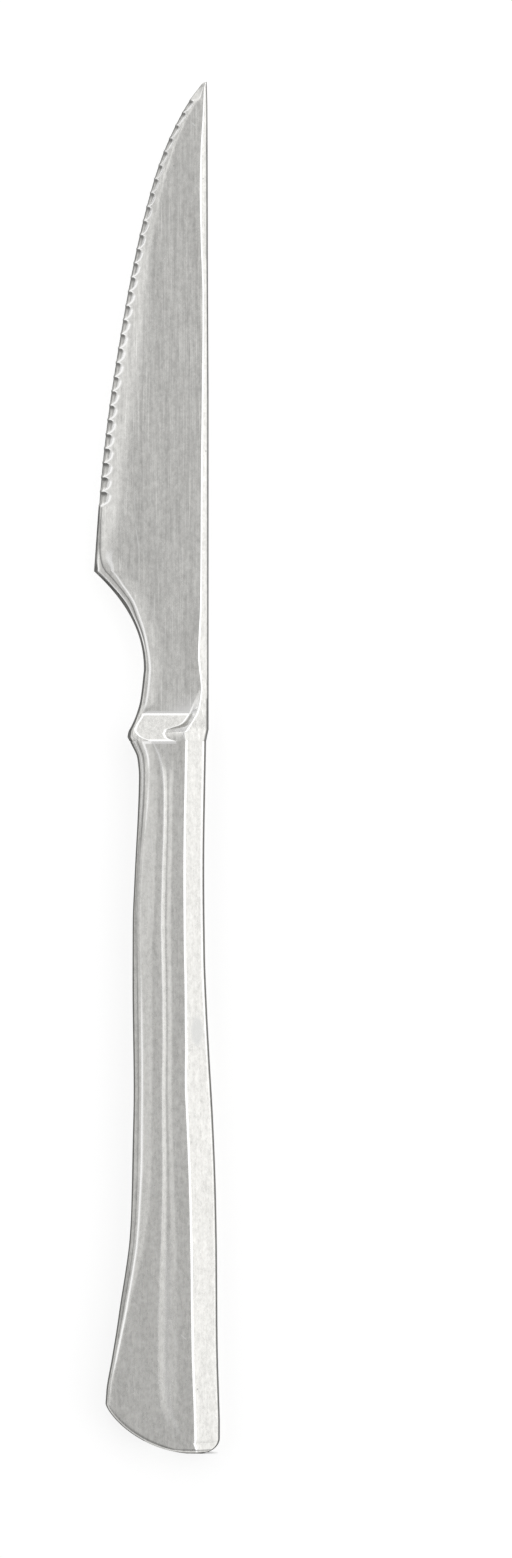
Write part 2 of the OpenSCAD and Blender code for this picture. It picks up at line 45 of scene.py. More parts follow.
# Sizes are in millimetres: u runs along the blade from the handle's mouth, depth runs down from
# the line of the spine, and height runs up from the knife's middle plane
MM = 0.001
SPINE_X, MOUTH_Y, HALF_THICK = 8.475, 4.3, 3.5
EDGE_LENGTH, CHOIL_LENGTH = 80.3, 27.9
BLADE_LENGTH = EDGE_LENGTH + CHOIL_LENGTH
BLADE_WIDTH, NECK_WIDTH, GUARD_DEPTH = 18.8, 10.6, 13.3
BLADE_THICK, TIP_THICK, TIP_DROP, EDGE_THICK = 2.4, 0.9, 0.4, 0.2
GRIND_WIDTH, SPINE_BEVEL, LEAST_SPINE = 3.3, 1.2, 0.12
BEVEL_SLOPE, FACET_SLOPE = math.tan(math.radians(25)), math.tan(math.radians(8))
RAMP_LENGTH, MOUTH_WIDTH, MOUTH_STEP, STEP_SHARE = 4.6, 12.5, 0.42, 0.43
SHOULDER_WIDTH, SIDE_HALF, FRONT_BEVEL = 1.2, 1.3, 3.3
NECK_AT, GUARD_AT, CHOIL_POWER = 0.418 * CHOIL_LENGTH, 0.024 * CHOIL_LENGTH, 2.15

# Outlines, as points of place and value along each stretch
BELLY = [(0, 0), (0.11, 0.06), (0.23, 0.188), (0.44, 0.4565), (0.705, 0.751), (0.88, 0.924), (1, 1)]
GUARD = [(0, 0), (0.45, 0.22), (0.67, 0.47), (0.82, 0.73), (0.93, 0.95), (1, 1)]
SPINE_FALL = [(0, 0), (0.5, 0), (0.72, 0.26), (0.85, 0.35), (0.96, 0.48), (1, 0.75)]
SPINE_BEVEL_RUN = [(0, 1), (0.08, 1.02), (0.13, 1.4), (0.21, 1.12), (0.44, 0.97), (0.68, 0.73),
                   (0.76, 0.94), (0.83, 1.05), (0.893, 0.93), (0.945, 0.63), (1, 0.35)]
GRIND_RUN = [(0.26, 0.88), (0.37, 1), (0.5, 1.03), (0.6, 1.1), (0.73, 0.74), (0.82, 0.58),
             (0.896, 0.47), (0.95, 0.42), (1, 0.42)]
# The ramp: the sweep of its bevel, the slope beside its shoulder, and the edge of its wall
BEVEL_SWEEP = [(0, 0.97), (0.067, 1.06), (0.17, 1.2), (0.263, 1.4), (0.36, 1.18), (0.49, 1.01),
               (0.75, 0.66), (0.99, 0.37), (1.4, 0.12), (1.82, 0)]
RAMP_LEAD = [(0, 1.6), (0.08, 1.15), (0.22, 0.7), (0.43, 0.22), (0.7, 0.12), (1, 0.12)]
SWOOSH = [(0, 0.52), (0.067, 0.8), (0.15, 0.93), (0.24, 0.885), (0.31, 0.93), (0.41, 1.03),
          (0.49, 0.76), (0.571, 0.48), (0.717, 0.34), (0.99, 0.318), (1.3, 0.3), (1.6, 0.2), (1.9, 0.1)]
# Widths from the edge, along the blade: the strip, its inner line with a painted highlight and its vein with
# painted shade
STRIP = [(0, 1.5), (0.69, 1.0), (2.3, 0.56), (4.6, 0.9), (8.4, 0.93), (11.7, 0.86), (14.9, 0.8),
         (19.9, 1.2), (23.1, 1.9), (25.6, 2.3), (27.9, 2.9), (30.5, 1.95), (33, 1.95), (36, 2.7),
         (38.4, 3.2)]
INNER = [(0, 0.6), (1.5, 0.6), (3, 0.45), (4.6, 0.4), (8, 0.38), (15, 0.42), (19.9, 0.5),
         (23.1, 0.8), (25.6, 0.66), (28, 0.7), (29.7, 0.45), (32, 0.45), (40, 0.4)]
VEIN = [(0, 1.2), (0.69, 0.8), (2.3, 0.55), (4.6, 0.7), (12, 0.65), (15, 0.62), (19.9, 0.85),
        (23.1, 1.5), (25.6, 1.65), (27.9, 1.9), (28.5, 1.5), (29.7, 1.05), (31.3, 0.75),
        (34.6, 0.57), (37.4, 0.42), (40, 0.4)]
LINE_GAP = 0.1
# Heights: how the blade thins, the spine on the ramp, and the side of the choil
TAPER = [(0, 0), (0.5, 0.15), (0.85, 0.45), (0.95, 0.72), (1, 1)]
SPINE_HEIGHT = [(0, 1), (0.4, 0.76), (1, 0.3), (1.5, 0.1), (2, 0)]
SIDE_THIN = [(0, 0), (0.75, 0), (1, 1)]
SIDE_ROUND = [(0, 1), (1, 1), (1.1, 0.6), (1.3, 0.35), (1.45, 0)]
CHOIL_SIDE = 0.55
# The light zone beyond the strip: its width and slope from the neck to the tip
LEAD_WIDTH = [(6, 2.0), (12, 2.2), (20, 2.6), (27.9, 2.6), (32, 2.3)]
LEAD_SLOPE = [(0, 1.05), (24, 1.05), (32, 0.6), (60, 0.6), (88, 0.2), (108, 0)]
# The most of the blade's width that each zone takes where the blade is narrow
STRIP_SHARE, LEVEL_SHARE, LEAD_SHARE, BEVEL_SHARE, HOLLOW_SHARE = 0.4, 0.65, 0.25, 0.35, 0.1
TIP_FACET_AT, TIP_FACET_EASE, TIP_FACET_SHARE = 104.9, 0.5, 0.6
# The honed line at the edge, the foot of the ramp's wall, and the rim of the spine's bevel
HONE_WIDTH, BANK_WIDTH, RAMP_RIM, BLADE_RIM = 0.25, 0.25, 0.2, 0.1
RAMP_FADE, HEEL_FADE, TIP_LOW = 1.5, 3, 1.25 * TIP_DROP

# The scoops: their pitch and depth along the edge, how far they reach in, and their outline
TOOTH_PITCH, TOOTH_DIP, TOOTH_SHARE = 2.37, 0.16, 0.81
TOOTH_REACH = [(39, 1.7), (46, 1.45), (56, 1.2), (72, 1.12), (88, 1.02), (104, 0.95)]
SCOOP_SHAPE = [(0, 0.25), (0.1, 0.76), (0.3, 1), (0.65, 0.9), (0.88, 0.6), (1, 0.25)]
PLAIN_EDGE, PLAIN_TIP = 10, 4
# Painted highlight and painted shade on one scoop's border and bowl, from its side towards the tip to its
# side towards the handle
SCOOP_BORDER = [(0, 1), (0.06, 0.9), (0.14, 0.2), (0.26, 0.3), (0.4, 1), (1, 1)]
SCOOP_BOWL = [(0, -0.3), (0.08, -0.7), (0.2, -0.75), (0.36, -0.35), (0.5, -0.2), (0.75, -0.15),
              (0.9, 0.4), (1, 1)]
# Painted light, from -1 for painted shade on a side to 1 for a painted highlight on a crest: ramp's wall,
# strip, edge line and vein
WALL_PAINTED_LIGHT = [(0, 0), (0.15, -0.1), (0.25, 0), (0.4, 0.7), (1, 0.7), (1.4, 0.3), (1.8, 0)]
STRIP_PAINTED_LIGHT = [(0, 0), (4.5, 0.3), (7, 0.7), (12, 1), (24, 1), (27, 0.7), (29.5, 0.6), (32, 0)]
EDGE_LINE = [(0, 0), (14, 0.1), (17, 0.9), (26, 1), (29, 0.9), (30.5, 0.6), (32, 0), (33, 0)]
VEIN_LINE = [(0, 0), (15, -0.3), (18, -0.7), (30, -0.7), (37, -0.6), (42, 0)]


def mix(a, b, t):
    return a + (b - a) * t


def curve(points, x):
    """A smooth curve through points, which never swings past them"""
    def rise(n):
        return (points[n + 1][1] - points[n][1]) / (points[n + 1][0] - points[n][0])

    def lean(n):
        if n == 0 or n == len(points) - 1:
            return rise(min(n, len(points) - 2))
        a, b = rise(n - 1), rise(n)
        return 0 if a * b <= 0 else 2 * a * b / (a + b)

    n = min(len(points) - 2, max(0, sum(1 for p in points if p[0] <= x) - 1))
    width = points[n + 1][0] - points[n][0]
    t = min(1, max(0, (x - points[n][0]) / width))
    s = 1 - t
    return (s * s * (1 + 2 * t) * points[n][1] + t * t * (1 + 2 * s) * points[n + 1][1]
            + width * s * t * (s * lean(n) - t * lean(n + 1)))


def hump(x, centre, reach):
    """1 at the centre, falling evenly to 0 at the reach"""
    return max(0, 1 - abs(x - centre) / reach)


def belly(u):
    from_tip = math.sqrt(max(0, (BLADE_LENGTH - u) / EDGE_LENGTH))
    return TIP_LOW + (BLADE_WIDTH - TIP_LOW) * curve(BELLY, from_tip)


def blade_low(u):
    if u >= CHOIL_LENGTH:
        return belly(u)
    if u > NECK_AT:
        return mix(NECK_WIDTH, BLADE_WIDTH, ((u - NECK_AT) / (CHOIL_LENGTH - NECK_AT)) ** CHOIL_POWER)
    if u > GUARD_AT:
        return mix(NECK_WIDTH, GUARD_DEPTH, curve(GUARD, (NECK_AT - u) / (NECK_AT - GUARD_AT)))
    return mix(MOUTH_STEP + MOUTH_WIDTH, GUARD_DEPTH, max(0, u) / GUARD_AT)


def blade_back(u):
    return (MOUTH_STEP * max(0, 1 - u / (STEP_SHARE * RAMP_LENGTH))
            + TIP_DROP * curve(SPINE_FALL, u / BLADE_LENGTH))


def face_height(u):
    return mix(BLADE_THICK, TIP_THICK, curve(TAPER, u / BLADE_LENGTH)) / 2


# How a line of painted light lies on its corner: a point before the arc, five along it and one after
LINE, WIDE = (0, 0, 0.6, 1, 0.6, 0, 0), (0, 0.5, 1, 1, 1, 0.5, 0)
AFTER, BEFORE = (0, 0, 0.4, 1, 1, 1, 0), (0, 1, 1, 1, 0.4, 0, 0)
HELD, BRINK, UP_TO = (1, 1, 1, 1, 1, 1, 1), (0, 1, 1, 1, 1, 1, 1), (1, 1, 1, 0.8, 0.4, 0, 0)
SCOOP_BORDER_SPREAD = (0.5, 1, 1, 1, 1, 1, 0.2)


def blade_corners(u, scoop, share):
    """Corners of the blade's section from edge to spine: depth, height, radius, painted light (a highlight
    where positive, shade where negative) and its spread.
    Scoop is how deep the scoop is here, or -1 for plain edge, and share is the place along it"""
    low, back, half = blade_low(u), blade_back(u), face_height(u)
    span, edge = low - back, EDGE_THICK / 2
    ramp, along = u / RAMP_LENGTH, u / BLADE_LENGTH
    on_ramp, tipward = ramp < 1, min(1, max(0, (u - TIP_FACET_AT) / TIP_FACET_EASE))

    # The ground strip at the edge, with its inner line and vein
    ground = GRIND_WIDTH * curve(GRIND_RUN, along) if u > STRIP[-1][0] else curve(STRIP, u)
    strip = mix(min(STRIP_SHARE * span, ground), TIP_FACET_SHARE * span, tipward)
    inner = min(curve(INNER, u), 0.8 * strip)
    vein = max(inner + LINE_GAP, min(curve(VEIN, u), strip - LINE_GAP))
    if u >= CHOIL_LENGTH:
        side = edge
    elif on_ramp:
        side = mix(SIDE_HALF, CHOIL_SIDE * half, ramp)
    else:
        along_choil = (u - RAMP_LENGTH) / (CHOIL_LENGTH - RAMP_LENGTH)
        side = mix(CHOIL_SIDE * half, edge, curve(SIDE_THIN, along_choil))
    rounding = curve(SIDE_ROUND, u / CHOIL_LENGTH)

    # The flat, and the light zone that leads up to it
    top = mix(HALF_THICK, half, min(1, ramp))
    beyond = min(1, max(0, (u - RAMP_LENGTH) / RAMP_FADE))
    blade_lead = min(curve(LEAD_WIDTH, u), LEAD_SHARE * span)
    lead = mix(SHOULDER_WIDTH * curve(RAMP_LEAD, ramp), blade_lead, beyond)
    flat_low = min(LEVEL_SHARE * span, strip + lead)
    shoulder = top - (flat_low - strip) * FACET_SLOPE * (max(0, 1 - ramp) + curve(LEAD_SLOPE, u) * beyond)

    # The bevel along the spine, and the ramp's wall beside it
    full_bevel = SPINE_BEVEL * curve(SPINE_BEVEL_RUN, along)
    bevel = min(BEVEL_SHARE * span, mix(full_bevel, FRONT_BEVEL, curve(BEVEL_SWEEP, ramp)))
    hollow = min(HOLLOW_SHARE * span + max(0, RAMP_LENGTH - u), FRONT_BEVEL * curve(SWOOSH, ramp))
    thin_spine = max(LEAST_SPINE, half - min(bevel, full_bevel) * BEVEL_SLOPE)
    spine = mix(thin_spine, HALF_THICK - FRONT_BEVEL * BEVEL_SLOPE, curve(SPINE_HEIGHT, ramp))
    ridge = min(HALF_THICK, spine + bevel * BEVEL_SLOPE) if ramp < 2 else half

    if scoop >= 0:
        reach = min(curve(TOOTH_REACH, u), TOOTH_SHARE * strip) * curve(SCOOP_SHAPE, share)
        border = mix(side, shoulder, reach / strip)
        foot = mix(0.9, 0.5, scoop) * reach
        sink, dip = 0.8 * EDGE_THICK * scoop, TOOTH_DIP * scoop
        foot_z = mix(mix(side, shoulder, foot / strip), side - sink + 0.1, 0.85 * scoop)
        # Painted shade and highlight in the scoop's bowl, and a painted highlight along its border
        foot_painted_light, border_painted_light, spread = curve(SCOOP_BOWL, share), curve(SCOOP_BORDER, share), SCOOP_BORDER_SPREAD
        hone_painted_light, vein_painted_light = min(-0.5, foot_painted_light), 0
        vein, vein_z = mix(reach, strip, 0.5), mix(border, shoulder, 0.5)
    else:
        reach, spread = mix(inner, 0.9 * strip, tipward), AFTER if tipward else WIDE
        border = mix(side, shoulder, mix(reach / strip, 0.75, rounding))
        foot = 0.7 * reach
        sink, dip = 0, 0
        foot_z = mix(side, border, foot / reach)
        foot_painted_light = mix(mix(0, -1, rounding), 0.1, tipward)
        border_painted_light = max(curve(EDGE_LINE, u), tipward)
        hone_painted_light, vein_painted_light = mix(-1, 0, tipward), curve(VEIN_LINE, u)
        vein = mix(vein, mix(reach, strip, 0.5), tipward)
        vein_z = mix(side, shoulder, mix(vein / strip, 0.9, rounding))

    hone, bank = min(HONE_WIDTH, 0.6 * foot), min(BANK_WIDTH, 0.4 * hollow)
    rim = min(RAMP_RIM if ramp < 1.5 else BLADE_RIM, 0.3 * bevel)
    # Painted light on the ramp's wall, and a painted highlight on the ramp's flat
    wall, top_painted_light = curve(WALL_PAINTED_LIGHT, ramp), 1.0 * on_ramp
    level_at = (HALF_THICK - spine) / BEVEL_SLOPE
    tongue = ramp < 2 and bevel > level_at
    knee, knee_z = (level_at, ridge) if tongue else (0.6 * bevel, mix(spine, ridge, 0.6))
    heel_ease = min(1, max(0, (u - CHOIL_LENGTH) / HEEL_FADE))
    # Each corner's fourth value is its painted light: a highlight where positive, shade where negative; the
    # edge and the spine's rims get painted shade, the ridge a painted highlight
    return [(low - dip, side - sink, 0, -1),
            (low - hone, mix(side - sink, foot_z, hone / foot), 0.03, hone_painted_light, HELD),
            (low - foot, foot_z, 0.05, foot_painted_light, HELD),
            (low - reach, border, 0.14, border_painted_light, spread),
            (low - vein, vein_z, 0.1, vein_painted_light, WIDE),
            (low - strip, shoulder, mix(0.16, 0.9, heel_ease), curve(STRIP_PAINTED_LIGHT, u), AFTER),
            (low - flat_low, top, 0.12 if on_ramp else 1.2, top_painted_light, AFTER),
            (back + bevel + hollow, top, 0.16 if on_ramp else 0.25,
             *((1.0, BEFORE) if on_ramp else (wall, HELD))),
            (back + bevel + bank, mix(ridge, top, bank / hollow), 0.04, wall, HELD),
            (back + bevel, ridge, 0.14, 1, AFTER),
            (back + knee, knee_z, 0.05, 1.0 * tongue, BEFORE),
            (back + rim, spine + rim * BEVEL_SLOPE, 0.03, -1, BRINK),
            (back, spine, 0, -1)]


# A corner's arc and the lips on both sides of it, and the most of a side that they may take
ARC_PLACES, LIP = (0, 0.25, 0.5, 0.75, 1), 0.26
ARC_POINTS = len(ARC_PLACES) + 2
ARC_SHARE, LIP_SHARE = 0.42, 0.47


def eased(corners, fills):
    """Points along a section with its corners eased, as depth, height and painted light"""
    places = [Vector(c[:2]) for c in corners]
    row = [(*places[0], corners[0][3])]
    for n in range(1, len(corners)):
        corner, radius, painted_light = places[n], corners[n][2], corners[n][3]
        arc = [(*corner, painted_light)]
        if n < len(corners) - 1:
            spread = corners[n][4] if len(corners[n]) > 4 else LINE
            back, onward = places[n - 1] - corner, places[n + 1] - corner
            reach_back, reach_on = (radius / max(way.length, 1e-6) for way in (back, onward))
            stop = corner + back * min(ARC_SHARE, reach_back)
            go = corner + onward * min(ARC_SHARE, reach_on)
            wider = 1 + LIP / max(radius, 0.01)
            before = corner + back * min(LIP_SHARE, reach_back * wider)
            after = corner + onward * min(LIP_SHARE, reach_on * wider)
            arc = [before] + [stop * (1 - t) ** 2 + corner * 2 * t * (1 - t) + go * t * t
                              for t in ARC_PLACES] + [after]
            arc = [(*p, painted_light * share) for p, share in zip(arc, spread)]
        start, gaps = row[-1], fills[n - 1] + 1
        row += [tuple(mix(a, b, k / gaps) for a, b in zip(start, arc[0])) for k in range(1, gaps)]
        row += arc
    return row


def middle_of_arc(corner, fills):
    """Where the middle of a corner's arc is in the row of points that eased gives"""
    return 1 + ARC_POINTS * (corner - 1) + sum(fills[:corner]) + ARC_POINTS // 2


def sheet_of(bm, painted_light_layer, rows, turned=False):
    """A grid of faces laid on rows of placed points, each (place, painted light)"""
    across, along = len(rows[0]) - 1, len(rows) - 1
    made = bmesh.ops.create_grid(bm, x_segments=across, y_segments=along, size=1)["verts"]
    for vert in made:
        i, j = round((vert.co.x + 1) / 2 * across), round((vert.co.y + 1) / 2 * along)
        vert.co, vert[painted_light_layer] = rows[j][i]
    if turned:
        bmesh.ops.reverse_faces(bm, faces=list({f for v in made for f in v.link_faces}))


def close_between(bm):
    """Joins the open rims of two sheets by a wall, and turns every face outward"""
    rims = [e for e in bm.edges if e.is_boundary]
    bmesh.ops.bridge_loops(bm, edges=rims)
    bmesh.ops.dissolve_degenerate(bm, dist=1e-8, edges=bm.edges[:])
    bmesh.ops.recalc_face_normals(bm, faces=bm.faces[:])
    if bm.calc_volume(signed=True) < 0:
        bmesh.ops.reverse_faces(bm, faces=bm.faces[:])


def placed(depth, along, height):
    return Vector((SPINE_X - depth, MOUTH_Y + along, HALF_THICK + height)) * MM


SHARP_ANGLE = 0.8


def object_of(bm, name, material):
    mesh = bpy.data.meshes.new(name)
    bm.to_mesh(mesh)
    bm.free()
    mesh.materials.append(material)
    made = bpy.data.objects.new(name, mesh)
    bpy.context.scene.collection.objects.link(made)
    return made


def finish_piece(bm, name, material, node):
    """Turns a bmesh into a piece that rides on the knife and stands for its CAD node"""
    for face in bm.faces:
        face.smooth = True
    for edge in bm.edges:
        edge.smooth = edge.calc_face_angle(0) < SHARP_ANGLE
    piece = object_of(bm, name, material)
    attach(piece, "root")
    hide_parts(node)


class Value:
    """A socket of a shader that Python's sums and products work on"""

    def __init__(self, tree, socket):
        self.tree, self.socket = tree, socket

    def node(self, kind, settings, outlet=0, **inputs):
        """A new node's outlet. An input is given by its name, or by n and its number"""
        made = self.tree.nodes.new(kind)
        for key, value in settings.items():
            setattr(made, key, value)
        for key, value in inputs.items():
            socket = made.inputs[int(key[1:])] if key[0] == "n" and key[1:].isdigit() else made.inputs[key]
            if isinstance(value, Value):
                self.tree.links.new(value.socket, socket)
            else:
                socket.default_value = value
        return Value(self.tree, made.outputs[outlet])

    def sum(self, operation, a, b):
        return self.node("ShaderNodeMath", {"operation": operation}, n0=a, n1=b)

    def __add__(self, other):
        return self.sum("ADD", self, other)

    __radd__ = __add__

    def __sub__(self, other):
        return self.sum("SUBTRACT", self, other)

    def __rsub__(self, other):
        return self.sum("SUBTRACT", other, self)

    def __mul__(self, other):
        return self.sum("MULTIPLY", self, other)

    __rmul__ = __mul__

    def between(self, low, high):
        """0 below low, 1 above high, and even in between"""
        return self.node("ShaderNodeMapRange", {"clamp": True}, n0=self, n1=low, n2=high, n3=0.0, n4=1.0)

    def grain(self, size, detail, roughness):
        """Noise whose features have this size along x, y and z, in millimetres"""
        scaled = self.node("ShaderNodeMapping", {}, Vector=self, Scale=tuple(1 / (MM * s) for s in size))
        return self.node("ShaderNodeTexNoise", {}, Vector=scaled, Scale=1.0, Detail=detail,
                         Roughness=roughness)

    def blend(self, colour, other):
        """This value blends one colour into another"""
        return self.node("ShaderNodeMix", {"data_type": "RGBA"}, outlet=2, n0=self, n6=colour, n7=other)

    def dimmed(self, share):
        """This colour, scaled by a share"""
        return self.node("ShaderNodeVectorMath", {"operation": "SCALE"}, n0=self, Scale=share)

    def feed(self, shader, name):
        self.tree.links.new(self.socket, shader.inputs[name])


def blank_material(name):
    """A new material, its shader, and the place of a surface point on the knife"""
    material = bpy.data.materials.new(name)
    material.use_nodes = True
    tree = material.node_tree
    coords = tree.nodes.new("ShaderNodeTexCoord")
    return material, tree.nodes["Principled BSDF"], Value(tree, coords.outputs["Object"])


def spot(place, x, y, half_x, half_y, turn):
    """1 inside a small mark on the surface, in millimetres, and 0 outside it"""
    moved = place.node("ShaderNodeMapping", {"vector_type": "TEXTURE"}, Vector=place,
                       Location=(x * MM, y * MM, 0), Rotation=(0, 0, turn),
                       Scale=(half_x * MM, half_y * MM, 0.05))
    reach = place.node("ShaderNodeVectorMath", {"operation": "LENGTH"}, outlet=1, n0=moved)
    return 1 - reach.between(0.75, 1.1)


# Near-white colour of the painted highlights, and the share of the colour that is left under painted shade
PAINTED_HIGHLIGHT_COLOUR, PAINTED_SHADE_SHARE = (1.0, 0.995, 0.985, 1), 0.25


def satin_steel(name, colour, roughness, brush, brush_strength, hair_strength, mottle, marks):
    """Ground stainless steel: brush lines, faint mottling, painted highlights on crests, painted shade along
    sides and rims, and marks.
    A mark is a nick or a scratch, as x, y, half its width and length in millimetres, turn and tone"""
    material, shader, place = blank_material(name)
    shader.inputs["Metallic"].default_value = 1.0
    shader.inputs["Specular Tint"].default_value = (0.45, 0.45, 0.44, 1)
    # Painted light from the mesh: positive values paint a highlight on a crest, negative values paint shade
    # on a side or rim
    painted_light = place.node("ShaderNodeAttribute", {"attribute_name": "painted_light"}, outlet=2)
    painted_highlight, side = painted_light.between(0.05, 0.7), (painted_light * -1).between(0.05, 0.9)

    across, along, through = brush
    lines = place.grain(brush, 3.0, 0.6)
    streaks = place.grain((across * 3, along * 4, through * 3), 2.0, 0.5)
    hairs = place.grain((across * 0.55, along * 1.6, through * 0.55), 1.0, 0.5).between(0.6, 0.78)
    cloud = place.grain((0.7, 1.2, 0.7), 2.0, 0.5)
    speck = place.grain((0.3, 0.5, 0.3), 1.0, 0.5)
    tone = (lines - 0.5) * brush_strength + (streaks - 0.5) * (brush_strength * 0.7) + hairs * hair_strength
    tone = tone + (cloud - 0.5) * mottle + (speck - 0.5) * (mottle * 0.7) + 1.0

    body = place.node("ShaderNodeVectorMath", {"operation": "SCALE"}, n0=colour, Scale=tone)
    # Painted shade: the colour is dimmed where the painted light is negative
    body = side.blend(body, body.dimmed(PAINTED_SHADE_SHARE))
    # Painted highlight: the colour is blended towards near white where the painted light is positive
    body = painted_highlight.blend(body, PAINTED_HIGHLIGHT_COLOUR)
    for x, y, half_x, half_y, turn, mark_tone in marks:
        mark = spot(place, x, y, half_x, half_y, turn)
        body = mark.blend(body, (mark_tone, mark_tone, mark_tone * 0.98, 1))
    body.feed(shader, "Base Color")
    rough = (lines - 0.5) * 0.10 + (cloud - 0.5) * 0.06 + roughness - painted_highlight * 0.08 + side * 0.1
    rough.feed(shader, "Roughness")
    bump = place.node("ShaderNodeBump", {}, Strength=0.25, Distance=0.00002,
                      Height=lines * 0.8 + speck * 0.4)
    bump.feed(shader, "Normal")
    return material


blade_finish = satin_steel("ground_blade_steel", (0.713, 0.706, 0.683), roughness=0.27,
                           brush=(0.3, 8.0, 0.3), brush_strength=0.45, hair_strength=0.3, mottle=0.42,
                           marks=[(8.03, 51.9, 0.12, 0.12, 0, 0.42), (7.6, 96.6, 0.12, 0.12, 0, 0.5),
                                  (6.02, 105.5, 0.12, 0.42, 0.7, 0.86), (2.78, 98.7, 0.13, 0.11, 0, 0.48),
                                  (-3.6, 43.0, 0.06, 2.7, 0.02, 0.82), (-3.24, 38.0, 0.07, 2.6, 0.14, 0.86)])

# How far the belly's line has run at places from the tip to the choil
BELLY_STEPS = 160
belly_length, belly_run = 0.0, [(0.0, BLADE_LENGTH)]
for n in range(BELLY_STEPS):
    a, b = (BLADE_LENGTH - EDGE_LENGTH * (k / BELLY_STEPS) ** 2 for k in (n, n + 1))
    belly_length += math.hypot(belly(b) - belly(a), a - b)
    belly_run.append((belly_length, b))


def along_belly(distance):
    for (a, ua), (b, ub) in zip(belly_run, belly_run[1:]):
        if distance <= b:
            return mix(ua, ub, (distance - a) / (b - a))
    return CHOIL_LENGTH


# The stations of the blade from the mouth to the tip, as place, depth of the scoop and share of it
SCOOP_SHARES = (1, 0.94, 0.88, 0.8, 0.7, 0.6, 0.5, 0.4, 0.3, 0.2, 0.12, 0.06)
HEEL_STATIONS, TIP_STATIONS = 36, 18
scoops = math.floor((belly_length - PLAIN_TIP - PLAIN_EDGE) / TOOTH_PITCH)
scoops_end = PLAIN_TIP + scoops * TOOTH_PITCH
plain_stations = [n * 0.18 for n in range(26)] + [RAMP_LENGTH + d for d in (-0.06, 0, 0.08, 0.2, 0.35)]
plain_stations += [n * 0.4 for n in range(13, 69)] + [CHOIL_LENGTH - d for d in (0.25, 0.12)]
plain_stations += [along_belly(mix(belly_length, scoops_end, n / HEEL_STATIONS))
                   for n in range(HEEL_STATIONS)]
stations = [(u, -1, 0) for u in plain_stations]
stations += [(along_belly(PLAIN_TIP + (scoop + share) * TOOTH_PITCH), 1 - (2 * share - 1) ** 2, share)
             for scoop in range(scoops - 1, -1, -1) for share in SCOOP_SHARES]
stations.append((along_belly(PLAIN_TIP), 0, 0))
stations += [(along_belly(PLAIN_TIP * (1 - n / TIP_STATIONS) ** 1.3), -1, 0)
             for n in range(1, TIP_STATIONS + 1)]

# The front and the back face, with painted highlight lines across the ramp's land at the mouth and at its
# foot
bm = bmesh.new()
painted_light_layer = bm.verts.layers.float.new("painted_light")
fills = (0, 0, 0, 0, 1, 2, 8, 1, 0, 0, 0, 0)
FLAT_LOW, FLAT_HIGH = 6, 7
land = range(middle_of_arc(FLAT_LOW, fills), middle_of_arc(FLAT_HIGH, fills))
front, reverse = [], []
for u, scoop, share in stations:
    plain = eased(blade_corners(u, -1, 0), fills)
    cut = eased(blade_corners(u, scoop, share), fills) if scoop >= 0 else plain
    # Painted highlight across the land at the mouth and at the ramp's foot
    line = min(1, 1.4 * max(hump(u, 0, 0.4), hump(u, RAMP_LENGTH, 0.45)))
    front.append([(placed(d, u, z), max(p, line) if n in land else p) for n, (d, z, p) in enumerate(cut)])
    edge_depth = cut[0][0]
    reverse.append([(placed(d if n else edge_depth, u, -z), p) for n, (d, z, p) in enumerate(plain)])
sheet_of(bm, painted_light_layer, front)
sheet_of(bm, painted_light_layer, reverse, turned=True)
close_between(bm)

# The hidden end: a plug that fills the handle's mouth, and a flat tang with two pairs of notches
PLUG_LENGTH, TANG_LENGTH, TANG_DEPTH = 3, 46, 6.67
TANG_ROOT, TANG_END, TANG_THICK, TANG_CHAMFER, TANG_BULGE = 7.44, 4.44, 2, 0.25, 0.1
NOTCH_RADIUS, NOTCHES = 0.8, (0.4 * TANG_LENGTH, 0.75 * TANG_LENGTH)
NOTCH_PLACES = (-1, -0.92, -0.7, -0.35, 0, 0.35, 0.7, 0.92, 1)
PLUG = [(10.6, 0.5), (10, 1.4), (9.4, 2.3), (7.6, 2.5), (5.6, 2.5), (3.9, 2.5), (2.67, 1.85), (1.45, 1.2)]


def tang_corners(v):
    """Corners of the tang above the middle plane, at a distance v from the mouth into the handle"""
    near = min(abs(v - notch) for notch in NOTCHES)
    half = mix(TANG_ROOT, TANG_END, v / TANG_LENGTH) / 2 - math.sqrt(max(0, NOTCH_RADIUS ** 2 - near ** 2))
    top = TANG_THICK / 2
    right = [(half, TANG_CHAMFER), (half - TANG_BULGE, top / 2), (half - TANG_CHAMFER, top),
             (half / 2, top)]
    return [(TANG_DEPTH + d, z) for d, z in right] + [(TANG_DEPTH - d, z) for d, z in right[::-1]]


def hoop(bm, corners, v):
    """A closed loop of edges round the knife's middle plane"""
    verts = [bm.verts.new(placed(d, -v, z)) for d, z in corners + [(d, -z) for d, z in corners[::-1]]]
    return [bm.edges.new(pair) for pair in zip(verts, verts[1:] + verts[:1])]


tang_stations = [notch + t * NOTCH_RADIUS for notch in NOTCHES for t in NOTCH_PLACES]
tang_stations = [PLUG_LENGTH, *tang_stations, TANG_LENGTH]
mouth = [f for f in bm.faces if all(abs(vert.co.y - MOUTH_Y * MM) < 1e-7 for vert in f.verts)]
bmesh.ops.delete(bm, geom=mouth, context="FACES")
shoulder_edges = [e for e in bm.edges if e.is_boundary]
plug = [hoop(bm, PLUG, v) for v in (0, PLUG_LENGTH)]
tang = [hoop(bm, tang_corners(v), v) for v in tang_stations]
for step in (shoulder_edges + plug[0], plug[1] + tang[0]):
    bmesh.ops.triangle_fill(bm, use_beauty=True, edges=step)
for one, following in [plug, *zip(tang, tang[1:])]:
    bmesh.ops.bridge_loops(bm, edges=one + following)
bmesh.ops.edgeloop_fill(bm, edges=tang[-1])
bmesh.ops.recalc_face_normals(bm, faces=bm.faces[:])
finish_piece(bm, "Blade", blade_finish, "blade")

